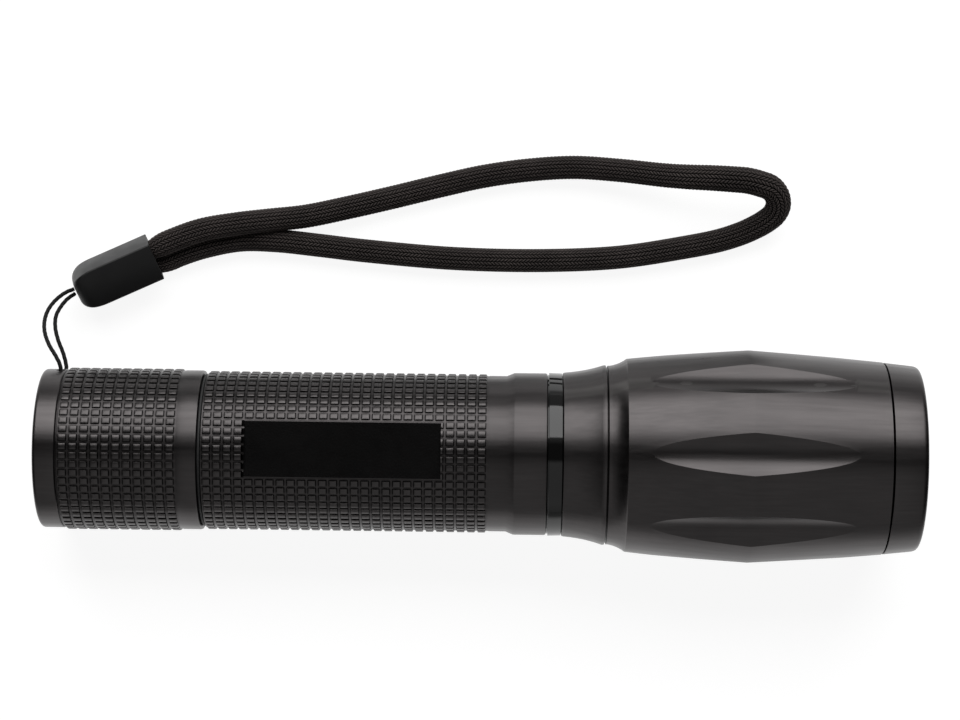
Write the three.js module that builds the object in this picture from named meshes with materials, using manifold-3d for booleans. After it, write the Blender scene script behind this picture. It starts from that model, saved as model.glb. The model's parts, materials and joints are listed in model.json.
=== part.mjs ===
// A zoom torch (hand-held flashlight) with a wrist strap, in millimetres, +Z up.
// It lies on the surface z = 0 with its light towards +X and its strap laid out on the +Y side.
// The origin is on that surface, under the middle of the torch.
//
// The torch is made in its own group. There x is the station along the torch's axis, counted
// from just behind the tail's rear face, y points to the strap's side and z is the side that
// faces up. The group is tilted a little, because the head is wider than the tail.

import * as THREE from "three";
import { mergeVertices } from "three/addons/utils/BufferGeometryUtils.js";
import Module from "manifold-3d";

const wasm = await Module();
wasm.setup();

// ---- Driving dimensions -------------------------------------------------------------------

const SHELL_SIDES = 40; // sides of the outer turned shells
const INNER_SIDES = 24; // sides of the turned pieces inside
const RING_SIDES = 6; // sides of an O-ring's section
const GAP = 0.3; // clearance between pieces that meet

const GRIP_RADIUS = 13.13; // battery tube over its knurl
const CAP_RADIUS = 13.4; // tail cap over its knurl
const COLLAR_RADIUS = 13.42; // collar in front of the tube's neck
const NECK_RADIUS = 12.9;

const CELL_RADIUS = 5.1; // AAA cell
const CELL_LENGTH = 44.5;
const CELL_CIRCLE = 6.0; // circle that the three cells' axes stand on
const BORE_RADIUS = 11.3; // tube bore, round three cells
const CARRIER_RADIUS = BORE_RADIUS - GAP;
const THREAD_RADIUS = 11.95; // outside of the tube's rear thread
const SLIDE_RADIUS = 12.0; // thin front end of the tube, which the head slides on

const CAP_REAR = 0.35; // rear face of the tail cap
const CAP_KNURL_START = 4.45;
const CAP_KNURL_END = 23.5;
const CAP_LENGTH = 26.95;
const TUBE_START = 17.5;
const GRIP_START = 27.6;
const GRIP_END = 73.9;
const NECK_END = 77.1;
const COLLAR_START = 78.3;
const COLLAR_END = 83.78;
const TUBE_END = 106.0;
const BUSH_END = 95.0; // front end of the guide bush inside the head
const HEAD_START = 86.33;
const SHOULDER = 96.8; // crisp corner where the head's flare ends
const WAIST = 116.9; // the head's widest station
const HEAD_END = 139.28;
const LENGTH = 145.0;

const HEAD_RADIUS = 17.82;
const FLUTE_COUNT = 8;
const FLUTE_CUTTER = 6.2; // radius of the cutter that mills a flute
const FLUTE_FLOOR = 16.4; // distance of a flute's floor from the torch's axis
const FLUTE_AXIS = FLUTE_FLOOR + FLUTE_CUTTER;

const GUIDE_BORE = 12.95; // head bore round the guide bush
const HEAD_BORE = 13.6; // head bore round the lamp pill
const LENS_BORE = 14.4; // head bore round the lens and the bezel's skirt
const LENS_SEAT = 126.0;
const BEZEL_BORE = 12.9;

const LABEL_START = 34.7; // milled name flat on top of the tube
const LABEL_LENGTH = 31.85;
const LABEL_WIDTH = 9.06;

const LANYARD_STATION = 3.2;
const LANYARD_HOLE = 0.75;
const LANYARD_ANGLES = [12, -10]; // degrees above the +Y side

const CORD_RADIUS = 2.0;
const THREAD_LOOP_RADIUS = 0.35;

// The wrist cord's centreline: out of the clip along the upper strand, round the loop's end and
// back along the lower strand.
const CORD_ROUTE = [
  [-55.4, 34.3, 5.3],
  [-51.7, 36.1, 5.2],
  [-47.3, 37.7, 5.0],
  [-41.6, 38.8, 4.7],
  [-36.2, 39.6, 3.9],
  [-29.9, 40.5, 2.9],
  [-22.2, 42.3, 2.2],
  [-14.6, 44.2, 2.0],
  [-6.9, 46.2, 2.0],
  [0.7, 48.0, 2.0],
  [8.5, 49.2, 2.1],
  [16.2, 49.7, 2.6],
  [23.9, 49.2, 3.5],
  [31.6, 48.3, 4.9],
  [35.7, 47.9, 6.3],
  [39.4, 47.7, 7.1],
  [42.8, 47.5, 7.4],
  [45.5, 47.3, 7.4],
  [47.8, 46.8, 7.1],
  [49.6, 46.2, 6.5],
  [50.8, 44.9, 5.6],
  [51.1, 43.4, 4.6],
  [50.5, 42.0, 3.7],
  [48.9, 40.7, 3.0],
  [47.1, 39.7, 2.5],
  [45.1, 38.8, 2.1],
  [41.2, 37.5, 2.0],
  [34.6, 36.1, 2.0],
  [24.3, 34.4, 2.0],
  [11.3, 33.6, 2.0],
  [-4.2, 33.7, 2.0],
  [-19.7, 34.8, 2.0],
  [-27.4, 35.6, 2.0],
  [-35.0, 36.3, 2.0],
  [-41.1, 36.3, 2.0],
  [-47.3, 35.0, 2.0],
  [-51.3, 33.6, 2.1],
  [-54.4, 32.2, 2.3],
];

// The thread loop's centreline: out of the clip, into the cap by one hole, behind its wall, out by
// the other hole and back to the clip.
const THREAD_ROUTE = [
  [-69.01, 27.27, 4.4],
  [-70.31, 26.64, 4.9],
  [-71.7, 25.36, 6.1],
  [-72.74, 23.59, 7.9],
  [-73.09, 21.53, 10.1],
  [-72.75, 19.37, 12.3],
  [-71.7, 17.1, 14.3],
  [-70.4, 15.23, 15.75],
  [-69.6, 13.75, 16.2],
  [-69.4, 12.48, 15.96],
  [-69.38, 11.17, 15.68],
  [-69.35, 10.32, 14.9],
  [-69.29, 10.01, 13.49],
  [-69.25, 10.24, 12.1],
  [-69.22, 11.13, 11.32],
  [-69.2, 12.52, 11.07],
  [-69.22, 13.8, 10.85],
  [-69.8, 15.88, 10.5],
  [-70.81, 18.16, 9.7],
  [-71.52, 20.43, 8.4],
  [-71.63, 22.4, 7.0],
  [-71.05, 24.07, 5.7],
  [-70.08, 25.55, 4.5],
  [-68.92, 26.54, 3.7],
];

const CLIP_TIP = [-68.6, 27.0]; // middle of the clip's closed end, seen from above
const CLIP_HEADING = 24.8; // degrees from +X
const CLIP_ROLL = 27; // degrees that the clip leans over on the surface
const CLIP_LENGTH = 14.5;
const CLIP_WIDTH = 6.8;
const CLIP_THICKNESS = 6.4;
const CLIP_NOSE = 4.4; // length of the rounded closed end

const PRESS_TRAVEL = 1.4; // how far the tail button goes in

// ---- Materials ----------------------------------------------------------------------------

function finish(color, roughness, metalness) {
  return new THREE.MeshStandardMaterial({ color, roughness, metalness });
}

const ANODISED = [0x1b1a1a, 0.38, 0.6];
const GLOSS_PLASTIC = [0x0b0b0b, 0.12, 0.0];
const DARK_PLASTIC = [0x1c1c1e, 0.45, 0.0];
const WHITE_PLASTIC = [0xd9d8d2, 0.5, 0.0];
const RUBBER = [0x141414, 0.8, 0.0];
const BARE_ALUMINIUM = [0xb9babd, 0.3, 1.0];
const BRASS = [0xb08d4a, 0.3, 1.0];
const NICKEL = [0xc9c6be, 0.25, 1.0];
const CELL_JACKET = [0x3c5f86, 0.35, 0.3];
const BOARD = [0x1f4a2c, 0.5, 0.0];
const LAMP_BOARD = [0xe9e8e2, 0.5, 0.2];
const PHOSPHOR = [0xe6d54a, 0.4, 0.0];
const CLEAR = [0xeef3f5, 0.05, 0.0];
const BRAID = [0x121112, 0.85, 0.0];

// ---- Shape helpers ------------------------------------------------------------------------

function signedVolume(positions, index) {
  const a = new THREE.Vector3();
  const b = new THREE.Vector3();
  const c = new THREE.Vector3();
  let total = 0;
  for (let i = 0; i < index.length; i += 3) {
    a.fromArray(positions, 3 * index[i]);
    b.fromArray(positions, 3 * index[i + 1]);
    c.fromArray(positions, 3 * index[i + 2]);
    total += a.dot(b.cross(c)) / 6;
  }
  return total;
}

// Position-only copy of a closed geometry: vertices merged, no empty triangles, faces out.
function sealed(geometry) {
  const bare = geometry.clone();
  bare.deleteAttribute("normal");
  bare.deleteAttribute("uv");
  const merged = mergeVertices(bare, 1e-5);
  const positions = merged.getAttribute("position").array;
  const kept = [];
  for (let i = 0; i < merged.index.count; i += 3) {
    const [a, b, c] = [0, 1, 2].map((k) => merged.index.getX(i + k));
    if (a !== b && b !== c && c !== a) kept.push(a, b, c);
  }
  if (signedVolume(positions, kept) < 0) kept.reverse();
  const out = new THREE.BufferGeometry();
  out.setAttribute("position", new THREE.Float32BufferAttribute(positions, 3));
  out.setIndex(kept);
  return out;
}

function solid(geometry) {
  const clean = sealed(geometry);
  return new wasm.Manifold(
    new wasm.Mesh({
      numProp: 3,
      vertProperties: new Float32Array(clean.getAttribute("position").array),
      triVerts: new Uint32Array(clean.index.array),
    }),
  );
}

function geometryOf(manifold) {
  const mesh = manifold.getMesh();
  const geometry = new THREE.BufferGeometry();
  geometry.setAttribute("position", new THREE.Float32BufferAttribute(mesh.vertProperties, 3));
  geometry.setIndex([...mesh.triVerts]);
  return geometry;
}

// A turned piece about the X axis. The outline's points are [station, radius].
function turned(outline, sides = INNER_SIDES) {
  const profile = outline.map(([station, radius]) => new THREE.Vector2(radius, station));
  const first = outline[0];
  const last = outline[outline.length - 1];
  if (first[1] > 0 || last[1] > 0) profile.push(profile[0].clone());
  const lathe = new THREE.LatheGeometry(profile, sides);
  lathe.rotateZ(-Math.PI / 2);
  return sealed(lathe);
}

// Points of a quadratic curve between two outline points, without its first point.
function sweep(from, control, to, steps) {
  const curve = new THREE.QuadraticBezierCurve(
    new THREE.Vector2(...from),
    new THREE.Vector2(...control),
    new THREE.Vector2(...to),
  );
  return curve.getPoints(steps).slice(1).map((p) => [p.x, p.y]);
}

function oRing(station, radius, thickness) {
  const torus = new THREE.TorusGeometry(radius, thickness, RING_SIDES, SHELL_SIDES);
  torus.rotateY(Math.PI / 2);
  torus.translate(station, 0, 0);
  return sealed(torus);
}

// A solid of round section along a curve.
function rod(curve, radius, sides, steps) {
  const section = new THREE.Shape();
  for (let i = 0; i < sides; i += 1) {
    const angle = (2 * Math.PI * i) / sides;
    const [x, y] = [radius * Math.cos(angle), radius * Math.sin(angle)];
    if (i === 0) section.moveTo(x, y);
    else section.lineTo(x, y);
  }
  return sealed(
    new THREE.ExtrudeGeometry(section, { extrudePath: curve, steps, bevelEnabled: false }),
  );
}

// A coil spring about the X axis whose radius changes evenly from one end to the other.
class Coil extends THREE.Curve {
  constructor(start, end, startRadius, endRadius, turns) {
    super();
    Object.assign(this, { start, end, startRadius, endRadius, turns });
  }

  getPoint(t, target = new THREE.Vector3()) {
    const angle = 2 * Math.PI * this.turns * t;
    const radius = THREE.MathUtils.lerp(this.startRadius, this.endRadius, t);
    const station = THREE.MathUtils.lerp(this.start, this.end, t);
    return target.set(station, radius * Math.cos(angle), radius * Math.sin(angle));
  }
}

function spring(start, end, startRadius, endRadius, turns, wire) {
  const coil = new Coil(start + wire, end - wire, startRadius, endRadius, turns);
  return rod(coil, wire, 5, Math.round(turns * 10));
}

// A plain disc about the X axis.
function disc(start, end, radius) {
  return turned([[start, 0], [start, radius], [end, radius], [end, 0]]);
}

function cylinderAlongX(start, end, radius, sides) {
  const cylinder = new THREE.CylinderGeometry(radius, radius, end - start, sides);
  cylinder.rotateZ(-Math.PI / 2);
  cylinder.translate((start + end) / 2, 0, 0);
  return cylinder;
}

function named(name, geometry, look) {
  const mesh = new THREE.Mesh(geometry, finish(...look));
  mesh.name = name;
  return mesh;
}

// ---- Tail cap and switch ------------------------------------------------------------------

function tailCap() {
  const floor = 1.4; // thickness of the cap's rear lip
  const lipOpening = 7.5;
  const faceRadius = 12.45; // the rear face, inside its rounded edge
  const roundingEnd = 1.0;
  const bandRadius = 13.15;
  const bandEnd = 4.05;
  const grooveRadius = 12.9;
  const slope = 0.05;
  const frontRadius = 13.2; // plain band in front of the knurl
  const switchBore = 9.4;
  const pocketRadius = 11.3; // pocket behind the lanyard holes
  const pocketEnd = 4.4;
  const threadBore = THREAD_RADIUS + GAP;
  const threadStart = 16.9;
  let cap = solid(
    turned(
      [
        [CAP_REAR, lipOpening],
        [CAP_REAR, faceRadius],
        ...sweep([CAP_REAR, faceRadius], [CAP_REAR, bandRadius], [roundingEnd, bandRadius], 3),
        [bandEnd, bandRadius],
        [bandEnd + slope, grooveRadius],
        [CAP_KNURL_START - 2 * slope, grooveRadius],
        [CAP_KNURL_START, CAP_RADIUS],
        [CAP_KNURL_END, CAP_RADIUS],
        [CAP_KNURL_END + 0.2, frontRadius],
        [CAP_LENGTH, frontRadius],
        [CAP_LENGTH, threadBore],
        [threadStart, threadBore],
        [threadStart, switchBore],
        [pocketEnd, switchBore],
        [pocketEnd, pocketRadius],
        [floor, pocketRadius],
        [floor, lipOpening],
      ],
      SHELL_SIDES,
    ),
  );
  const wallMiddle = (pocketRadius + bandRadius) / 2;
  for (const degrees of LANYARD_ANGLES) {
    const hole = new THREE.CylinderGeometry(LANYARD_HOLE, LANYARD_HOLE, 4, 12);
    hole.translate(0, wallMiddle, 0);
    hole.rotateX(THREE.MathUtils.degToRad(degrees));
    hole.translate(LANYARD_STATION, 0, 0);
    cap = cap.subtract(solid(hole));
  }
  return named("tail_cap", geometryOf(cap), ANODISED);
}

function buttonBoot() {
  const top = 0.75; // the boot stands a little below the cap's rear face
  const domeRadius = 7.1;
  const domeEdge = 1.5;
  const flangeStart = 1.75;
  const flangeEnd = 2.9;
  const flangeRadius = 9.0;
  const hollowRadius = 5.8;
  const outline = [
    [top, 0],
    ...sweep([top, 0], [top, domeRadius], [domeEdge, domeRadius], 5),
    [flangeStart, domeRadius],
    [flangeStart, flangeRadius],
    [flangeEnd, flangeRadius],
    [flangeEnd, hollowRadius],
    [1.9, hollowRadius],
    [1.6, 0],
  ];
  return named("button_boot", turned(outline), RUBBER);
}

const HOUSING_START = 3.0 + PRESS_TRAVEL + GAP; // clear of the boot's rim when it is pressed
const HOUSING_END = 13.0;
const SWITCH_RADIUS = 9.1;
const HOUSING_FLOOR = 11.5;
const HOUSING_MOUTH = 3.6; // radius of the hole that the plunger's stem runs in
const HOUSING_BORE = 4.7;
const PLUNGER_END = 8.2;
const BOARD_END = 14.5;
const TAIL_SPRING_END = 26.5;

function switchPlunger() {
  const start = 2.0;
  const stemRadius = HOUSING_MOUTH - 0.4;
  const headStart = 6.4;
  const headRadius = HOUSING_BORE - 0.4;
  const outline = [
    [start, 0],
    [start, stemRadius],
    [headStart, stemRadius],
    [headStart, headRadius],
    [PLUNGER_END, headRadius],
    [PLUNGER_END, 0],
  ];
  return named("switch_plunger", turned(outline), WHITE_PLASTIC);
}

function switchHousing() {
  const lipEnd = 6.0;
  const outline = [
    [HOUSING_FLOOR, 0],
    [HOUSING_FLOOR, HOUSING_BORE],
    [lipEnd, HOUSING_BORE],
    [lipEnd, HOUSING_MOUTH],
    [HOUSING_START, HOUSING_MOUTH],
    [HOUSING_START, SWITCH_RADIUS],
    [HOUSING_END, SWITCH_RADIUS],
    [HOUSING_END, 0],
  ];
  return named("switch_housing", turned(outline), DARK_PLASTIC);
}

function switchSpring() {
  const coil = spring(PLUNGER_END + GAP, HOUSING_FLOOR - GAP, 3.2, 3.2, 3, 0.25);
  return named("switch_spring", coil, NICKEL);
}

function switchBoard() {
  return named("switch_board", disc(HOUSING_END + GAP, BOARD_END, SWITCH_RADIUS), BOARD);
}

function switchRetainingRing() {
  const start = BOARD_END + GAP;
  const end = 16.6;
  const bore = 6.2;
  const outline = [[start, bore], [start, SWITCH_RADIUS], [end, SWITCH_RADIUS], [end, bore]];
  return named("switch_retaining_ring", turned(outline), BRASS);
}

function tailSpring() {
  return named("tail_spring", spring(BOARD_END + GAP, TAIL_SPRING_END, 4.6, 2.6, 5, 0.4), NICKEL);
}

// ---- Battery tube and what it holds -------------------------------------------------------

function batteryTube() {
  const chamfer = 0.2;
  const shell = solid(
    turned(
      [
        [TUBE_START, BORE_RADIUS],
        [TUBE_START, THREAD_RADIUS],
        [GRIP_START, THREAD_RADIUS],
        [GRIP_START, GRIP_RADIUS - chamfer],
        [GRIP_START + chamfer, GRIP_RADIUS],
        [GRIP_END, GRIP_RADIUS],
        [GRIP_END + chamfer, NECK_RADIUS],
        [NECK_END, NECK_RADIUS],
        [COLLAR_START, COLLAR_RADIUS],
        [COLLAR_END, COLLAR_RADIUS],
        [COLLAR_END, SLIDE_RADIUS],
        [TUBE_END, SLIDE_RADIUS],
        [TUBE_END, BORE_RADIUS],
      ],
      SHELL_SIDES,
    ),
  );
  const flatHeight = Math.sqrt(GRIP_RADIUS ** 2 - (LABEL_WIDTH / 2) ** 2);
  const cutterHeight = 4;
  const cutter = new THREE.BoxGeometry(LABEL_LENGTH, LABEL_WIDTH + 4, cutterHeight);
  cutter.translate(LABEL_START + LABEL_LENGTH / 2, 0, flatHeight + cutterHeight / 2);
  return named("battery_tube", geometryOf(shell.subtract(solid(cutter))), ANODISED);
}

function capSealOring() {
  const thickness = 0.28;
  const ringRadius = THREAD_RADIUS + thickness + 0.12;
  return named("cap_seal_oring", oRing((CAP_LENGTH + GRIP_START) / 2, ringRadius, thickness), RUBBER);
}

const CARRIER_START = 27.6;
const CARRIER_END = 76.4;
const CELL_START = 29.9;

function cellAngle(i) {
  return Math.PI / 2 + (i * 2 * Math.PI) / 3;
}

function batteryCarrier() {
  const bayStart = CELL_START - GAP;
  const bayEnd = CELL_START + CELL_LENGTH + GAP;
  let body = solid(cylinderAlongX(CARRIER_START, CARRIER_END, CARRIER_RADIUS, SHELL_SIDES));
  for (let i = 0; i < 3; i += 1) {
    const bay = cylinderAlongX(bayStart, bayEnd, CELL_RADIUS + 0.2, INNER_SIDES);
    bay.translate(0, CELL_CIRCLE * Math.cos(cellAngle(i)), CELL_CIRCLE * Math.sin(cellAngle(i)));
    body = body.subtract(solid(bay));
  }
  return named("battery_carrier", geometryOf(body), DARK_PLASTIC);
}

function cell(i) {
  const canEnd = CELL_LENGTH - 1.2;
  const nippleRadius = 1.9;
  const outline = [
    [0, 0],
    [0, CELL_RADIUS - 0.1],
    [canEnd, CELL_RADIUS],
    [canEnd, nippleRadius],
    [CELL_LENGTH, nippleRadius],
    [CELL_LENGTH, 0],
  ];
  const geometry = turned(outline);
  if (i === 1) {
    geometry.rotateY(Math.PI);
    geometry.translate(CELL_LENGTH, 0, 0);
  }
  const mesh = named(`cell_${i + 1}`, geometry, CELL_JACKET);
  const angle = cellAngle(i);
  mesh.position.set(CELL_START, CELL_CIRCLE * Math.cos(angle), CELL_CIRCLE * Math.sin(angle));
  return mesh;
}

const CONTACT_THICKNESS = 0.5;
const POSITIVE_CONTACT_END = CARRIER_END + GAP + CONTACT_THICKNESS;

function carrierNegativeContact() {
  const end = CARRIER_START - GAP;
  return named("carrier_negative_contact", disc(end - CONTACT_THICKNESS, end, 4.0), NICKEL);
}

function carrierPositiveContact() {
  const plate = disc(CARRIER_END + GAP, POSITIVE_CONTACT_END, 2.6);
  return named("carrier_positive_contact", plate, NICKEL);
}

const DRIVER_START = 83.7;
const DRIVER_END = 85.3;

function driverSpring() {
  const coil = spring(POSITIVE_CONTACT_END + GAP, DRIVER_START - GAP, 2.2, 3.4, 3, 0.35);
  return named("driver_spring", coil, NICKEL);
}

function driverBoard() {
  return named("driver_board", disc(DRIVER_START, DRIVER_END, BORE_RADIUS - 0.5), BOARD);
}

// ---- Lamp ---------------------------------------------------------------------------------

const PILL_START = 85.7;
const PILL_FRONT = 119.0;
const PILL_RING_STATION = 112.0;
const LAMP_BOARD_START = PILL_FRONT + GAP;
const LAMP_BOARD_END = LAMP_BOARD_START + 1.4;

function pill() {
  const noseRadius = HEAD_BORE - GAP;
  const noseStart = TUBE_END + GAP;
  const bodyRadius = BORE_RADIUS - GAP;
  const hollowEnd = 100;
  const hollowRadius = 8.5;
  const grooveRadius = 12.5;
  const grooveHalf = 1.0;
  const chamfer = 0.7;
  const outline = [
    [hollowEnd, 0],
    [hollowEnd, hollowRadius],
    [PILL_START, hollowRadius],
    [PILL_START, bodyRadius],
    [noseStart, bodyRadius],
    [noseStart, noseRadius],
    [PILL_RING_STATION - grooveHalf, noseRadius],
    [PILL_RING_STATION - grooveHalf, grooveRadius],
    [PILL_RING_STATION + grooveHalf, grooveRadius],
    [PILL_RING_STATION + grooveHalf, noseRadius],
    [PILL_FRONT - chamfer, noseRadius],
    [PILL_FRONT, noseRadius - chamfer],
    [PILL_FRONT, 0],
  ];
  return named("pill", turned(outline), BARE_ALUMINIUM);
}

function pillOring() {
  return named("pill_oring", oRing(PILL_RING_STATION, 13.04, 0.45), RUBBER);
}

function ledBoard() {
  return named("led_board", disc(LAMP_BOARD_START, LAMP_BOARD_END, 9.5), LAMP_BOARD);
}

function ledEmitter() {
  const start = LAMP_BOARD_END + GAP;
  const baseSide = 5;
  const baseHeight = 0.8;
  const domeRadius = 1.9;
  const domeTop = start + 2.4;
  const base = new THREE.BoxGeometry(baseHeight, baseSide, baseSide);
  base.translate(start + baseHeight / 2, 0, 0);
  const dome = turned([
    [start + baseHeight / 2, 0],
    [start + baseHeight / 2, domeRadius],
    [start + baseHeight, domeRadius],
    ...sweep([start + baseHeight, domeRadius], [domeTop, domeRadius], [domeTop, 0], 4),
  ]);
  return named("led_emitter", geometryOf(solid(base).add(solid(dome))), PHOSPHOR);
}

// ---- Head ---------------------------------------------------------------------------------

function guideBush() {
  const play = 0.25; // between the bush and what runs in it and round it
  const innerRadius = SLIDE_RADIUS + play;
  const sleeveRadius = GUIDE_BORE - play;
  const outline = [
    [COLLAR_END + GAP, innerRadius],
    [COLLAR_END + GAP, 13.54],
    [HEAD_START - GAP, 13.47],
    [HEAD_START - GAP, sleeveRadius],
    [BUSH_END, sleeveRadius],
    [BUSH_END, innerRadius],
  ];
  return named("guide_bush", turned(outline, SHELL_SIDES), GLOSS_PLASTIC);
}

function headShell() {
  const lip = [HEAD_START + 0.5, 13.62];
  const step = [93.0, 14.88];
  const stepEnd = [94.1, 14.83];
  const shoulder = [SHOULDER, 16.0];
  const waist = [WAIST, HEAD_RADIUS];
  const front = [HEAD_END, 15.91];
  let shell = solid(
    turned(
      [
        [HEAD_START, GUIDE_BORE],
        [HEAD_START, 13.55],
        lip,
        ...sweep(lip, [90.2, 13.9], step, 4),
        stepEnd,
        ...sweep(stepEnd, [95.6, 15.1], shoulder, 3),
        ...sweep(shoulder, [106.5, 17.05], waist, 3),
        ...sweep(waist, [128, 16.95], front, 4),
        [HEAD_END, LENS_BORE],
        [LENS_SEAT, LENS_BORE],
        [LENS_SEAT, HEAD_BORE],
        [BUSH_END + 0.5, HEAD_BORE],
        [BUSH_END + 0.5, GUIDE_BORE],
      ],
      SHELL_SIDES,
    ),
  );
  for (let i = 0; i < FLUTE_COUNT; i += 1) {
    const cutter = cylinderAlongX(SHOULDER + 1, LENS_SEAT + 10, FLUTE_CUTTER, 28);
    cutter.translate(0, 0, FLUTE_AXIS);
    cutter.rotateX((2 * Math.PI * i) / FLUTE_COUNT);
    shell = shell.subtract(solid(cutter));
  }
  return named("head_shell", geometryOf(shell), ANODISED);
}

const LENS_RIM_START = LENS_SEAT + GAP;
const LENS_RIM_END = LENS_RIM_START + 1.5;

function lens() {
  const rimRadius = LENS_BORE - GAP;
  const domeRadius = 12.9;
  const domeHeight = 9.7;
  const dome = [];
  const steps = 6;
  for (let i = 0; i <= steps; i += 1) {
    const angle = (i / steps) * (Math.PI / 2);
    const radius = i === steps ? 0 : domeRadius * Math.cos(angle);
    dome.push([LENS_RIM_END + domeHeight * Math.sin(angle), radius]);
  }
  const rim = [[LENS_RIM_START, 0], [LENS_RIM_START, rimRadius], [LENS_RIM_END, rimRadius]];
  const outline = [...rim, ...dome];
  return named("lens", turned(outline), CLEAR);
}

function lensOring() {
  const thickness = 0.42;
  const station = LENS_RIM_END + GAP + thickness + 0.03;
  return named("lens_oring", oRing(station, 13.6, thickness), RUBBER);
}

function bezel() {
  const ringStart = HEAD_END + GAP;
  const skirtStart = LENS_SEAT + 3.3;
  const skirtRadius = LENS_BORE - GAP;
  const edge = [LENGTH - 0.9, 15.36]; // where the ring starts to round over
  const faceOutside = [LENGTH, 14.6];
  const chamfer = 0.4;
  const outline = [
    [skirtStart, skirtRadius - 1],
    [skirtStart, skirtRadius],
    [ringStart, skirtRadius],
    [ringStart, 15.88],
    [LENGTH - 1.8, 15.47],
    edge,
    ...sweep(edge, [LENGTH, 15.25], faceOutside, 3),
    [LENGTH, BEZEL_BORE + chamfer],
    [LENGTH - chamfer, BEZEL_BORE],
    [skirtStart + 4.2, BEZEL_BORE],
  ];
  return named("bezel", turned(outline, SHELL_SIDES), ANODISED);
}

// ---- Wrist strap --------------------------------------------------------------------------

function routeCurve(points) {
  const vectors = points.map((p) => new THREE.Vector3(...p));
  return new THREE.CatmullRomCurve3(vectors, false, "centripetal");
}

function strapCord() {
  return named("strap_cord", rod(routeCurve(CORD_ROUTE), CORD_RADIUS, 8, 70), BRAID);
}

function strapThreadLoop() {
  return named("strap_thread_loop", rod(routeCurve(THREAD_ROUTE), THREAD_LOOP_RADIUS, 8, 44), BRAID);
}

// The clip that locks the cord's ends and the thread: a rounded block, blunt at its closed end.
function strapClip() {
  const bluntness = 2.5; // exponent of the closed end's outline
  const nose = 6; // points on each side of the closed end
  const outline = new THREE.Shape();
  const half = CLIP_WIDTH / 2;
  outline.moveTo(CLIP_LENGTH, half);
  for (let i = -nose; i <= nose; i += 1) {
    const angle = (i / nose) * (Math.PI / 2);
    const along = CLIP_NOSE * (1 - Math.abs(Math.cos(angle)) ** (2 / bluntness));
    const across = -Math.sign(angle) * half * Math.abs(Math.sin(angle)) ** (2 / bluntness);
    outline.lineTo(along, across);
  }
  outline.lineTo(CLIP_LENGTH, -half);
  outline.closePath();
  const bevel = 0.9; // of the clip's long edges
  const block = new THREE.ExtrudeGeometry(outline, {
    depth: CLIP_THICKNESS - 2 * bevel,
    bevelThickness: bevel,
    bevelSize: bevel,
    bevelOffset: -bevel,
    bevelSegments: 2,
  });
  block.translate(0, 0, bevel - CLIP_THICKNESS / 2);
  block.rotateX(THREE.MathUtils.degToRad(CLIP_ROLL));
  block.rotateZ(THREE.MathUtils.degToRad(CLIP_HEADING));
  block.computeBoundingBox();
  block.translate(CLIP_TIP[0], CLIP_TIP[1], -block.boundingBox.min.z);
  return named("strap_clip", sealed(block), DARK_PLASTIC);
}

// ---- Assembly -----------------------------------------------------------------------------

const torch = new THREE.Group();
torch.add(
  tailCap(),
  buttonBoot(),
  switchPlunger(),
  switchHousing(),
  switchSpring(),
  switchBoard(),
  switchRetainingRing(),
  tailSpring(),
  batteryTube(),
  capSealOring(),
  batteryCarrier(),
  cell(0),
  cell(1),
  cell(2),
  carrierNegativeContact(),
  carrierPositiveContact(),
  driverSpring(),
  driverBoard(),
  pill(),
  pillOring(),
  ledBoard(),
  ledEmitter(),
  guideBush(),
  headShell(),
  lens(),
  lensOring(),
  bezel(),
);

// The torch rests on the ridges beside its lowest flute and on the rear edge of the cap's knurl.
const ridgeCosine =
  (HEAD_RADIUS ** 2 + FLUTE_AXIS ** 2 - FLUTE_CUTTER ** 2) / (2 * HEAD_RADIUS * FLUTE_AXIS);
const tilt = Math.asin((HEAD_RADIUS * ridgeCosine - CAP_RADIUS) / (WAIST - CAP_KNURL_START));
torch.rotation.y = -tilt;
torch.updateMatrixWorld(true);
const extent = new THREE.Box3().setFromObject(torch, true);
torch.position.set(-LENGTH / 2, 0, -extent.min.z);

const flashlight = new THREE.Group();
flashlight.add(torch, strapClip(), strapCord(), strapThreadLoop());

export default flashlight;
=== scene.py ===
"""The looks of a zoom torch with a wrist strap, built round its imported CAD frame.

The torch's own pieces are drawn in millimetres in the torch's frame: the station along the
axis, counted from just behind the tail's rear face, the radius, and the angle from the side
that faces up towards the strap's side. `placed` turns them into metres in the row frame.
"""

import json
import math

import bpy
import numpy as np
from mathutils import Matrix, Vector


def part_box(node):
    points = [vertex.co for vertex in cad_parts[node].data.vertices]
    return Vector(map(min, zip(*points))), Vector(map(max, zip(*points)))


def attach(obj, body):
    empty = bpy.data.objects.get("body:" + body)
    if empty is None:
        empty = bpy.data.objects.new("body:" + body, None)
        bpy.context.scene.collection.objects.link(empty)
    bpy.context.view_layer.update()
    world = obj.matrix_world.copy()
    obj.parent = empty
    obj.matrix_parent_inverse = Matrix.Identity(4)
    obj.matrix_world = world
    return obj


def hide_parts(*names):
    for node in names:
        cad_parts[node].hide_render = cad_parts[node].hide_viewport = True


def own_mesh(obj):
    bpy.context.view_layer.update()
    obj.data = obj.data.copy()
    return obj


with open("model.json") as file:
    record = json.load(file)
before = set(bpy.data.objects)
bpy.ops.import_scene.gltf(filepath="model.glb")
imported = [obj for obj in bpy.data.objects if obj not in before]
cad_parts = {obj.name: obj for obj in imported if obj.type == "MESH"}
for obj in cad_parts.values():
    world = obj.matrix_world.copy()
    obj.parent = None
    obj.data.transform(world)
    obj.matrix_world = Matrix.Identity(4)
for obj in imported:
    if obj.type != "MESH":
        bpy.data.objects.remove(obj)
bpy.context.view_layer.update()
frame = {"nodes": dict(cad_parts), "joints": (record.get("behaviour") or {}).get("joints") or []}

MM = 0.001

# ---- Sizes, in millimetres ------------------------------------------------------------------

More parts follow.
